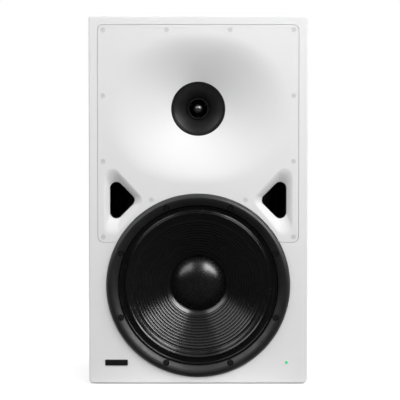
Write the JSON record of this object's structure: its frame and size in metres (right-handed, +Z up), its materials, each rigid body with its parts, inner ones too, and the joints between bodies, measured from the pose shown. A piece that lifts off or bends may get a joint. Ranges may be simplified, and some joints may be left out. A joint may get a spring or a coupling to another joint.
{
  "type": "studio monitor loudspeaker",
  "caption": "Two-way powered studio monitor: white board cabinet, flared tweeter waveguide, triangular reflex ports, ribbed black woofer, amplifier panel with heat sink at the back.",
  "frame": {"origin": "centre of the footprint at floor level, under the feet", "axes": "X to the speaker's right as seen from the front, Y from the front into the depth, Z up"},
  "size_m": [0.32, 0.36, 0.54],
  "materials": {
    "cabinet_paint": "white satin paint on board",
    "raw_board": "white sealed board",
    "rubber_black": "matte black rubber",
    "brass": "plain brass",
    "foam": "soft dark foam",
    "waveguide_white": "white satin moulding",
    "white_screw": "white painted steel",
    "plastic_black": "matte black moulding",
    "steel": "plain zinc plated steel",
    "magnet": "grey ferrite",
    "dark_metal": "dark polished metal",
    "titanium": "thin bright metal",
    "copper": "enamelled copper winding",
    "frame_black": "black coated aluminium",
    "screw_black": "black oxide steel",
    "cone_black": "black coated paper",
    "coil_former": "amber film",
    "spider_cloth": "impregnated cloth",
    "led_green": "green lens, lit",
    "circuit_board": "green laminate",
    "capacitor": "sleeved can"
  },
  "bodies": {
    "cabinet": {"amp_board": "circuit_board", "amp_panel": "frame_black", "amp_panel_screws": "screw_black", "back_panel": "raw_board", "board_standoffs": "steel", "bottom_panel": "cabinet_paint", "cabinet_brace": "raw_board", "damping_foam": "foam", "driver_bolts": "steel", "driver_magnet": "magnet", "driver_pole_plate": "steel", "driver_rear_cover": "plastic_black", "driver_top_plate": "steel", "filter_capacitors": "capacitor", "front_baffle": "cabinet_paint", "heat_sink": "frame_black", "inlet_pins": "brass", "insert_screws": "steel", "left_port_duct": "plastic_black", "left_side_panel": "cabinet_paint", "level_pot": "titanium", "mains_inlet": "plastic_black", "mains_transformer": "copper", "name_badge": "plastic_black", "phase_plug": "dark_metal", "power_switch_housing": "plastic_black", "right_port_duct": "plastic_black", "right_side_panel": "cabinet_paint", "rubber_feet": "rubber_black", "signal_input_socket": "plastic_black", "stand_inserts": "brass", "status_light": "led_green", "terminal_strips": "plastic_black", "throat_insert": "plastic_black", "top_panel": "cabinet_paint", "transformer_clamp": "steel", "tweeter_clamp_ring": "steel", "tweeter_lead": "plastic_black", "tweeter_surround": "rubber_black", "waveguide_gasket": "foam", "waveguide_plate": "waveguide_white", "waveguide_screws": "white_screw", "woofer_frame": "frame_black", "woofer_gasket": "foam", "woofer_lead": "plastic_black", "woofer_magnet": "magnet", "woofer_screws": "screw_black", "woofer_spider": "spider_cloth", "woofer_surround": "rubber_black", "woofer_top_plate": "steel", "woofer_trim_ring": "rubber_black", "woofer_yoke": "steel"},
    "woofer_moving": {"woofer_cone": "cone_black", "woofer_dust_cap": "cone_black", "woofer_coil_former": "coil_former", "woofer_voice_coil": "copper"},
    "tweeter_moving": {"tweeter_diaphragm": "titanium", "tweeter_voice_coil": "copper"},
    "rocker": {"power_rocker": "plastic_black"},
    "knob": {"level_knob": "plastic_black"}
  },
  "joints": [
    {"name": "woofer_travel", "type": "slide", "parent": "cabinet", "child": "woofer_moving", "axis": [0, -1, 0], "range_m": [-0.005, 0.005], "stiffness_N_per_m": 2500, "deforming": ["woofer_surround", "woofer_spider"]},
    {"name": "tweeter_travel", "type": "slide", "parent": "cabinet", "child": "tweeter_moving", "axis": [0, -1, 0], "range_m": [-0.0004, 0.0004], "stiffness_N_per_m": 2000, "deforming": ["tweeter_surround"]},
    {"name": "power_rocker_tilt", "type": "hinge", "parent": "cabinet", "child": "rocker", "pos_m": [-0.068, 0.1605, 0.133], "axis": [1, 0, 0], "range_deg": [-18, 0]},
    {"name": "level_turn", "type": "hinge", "parent": "cabinet", "child": "knob", "pos_m": [0.05, 0.168, 0.133], "axis": [0, 1, 0], "range_deg": [-150, 150]}
  ]
}
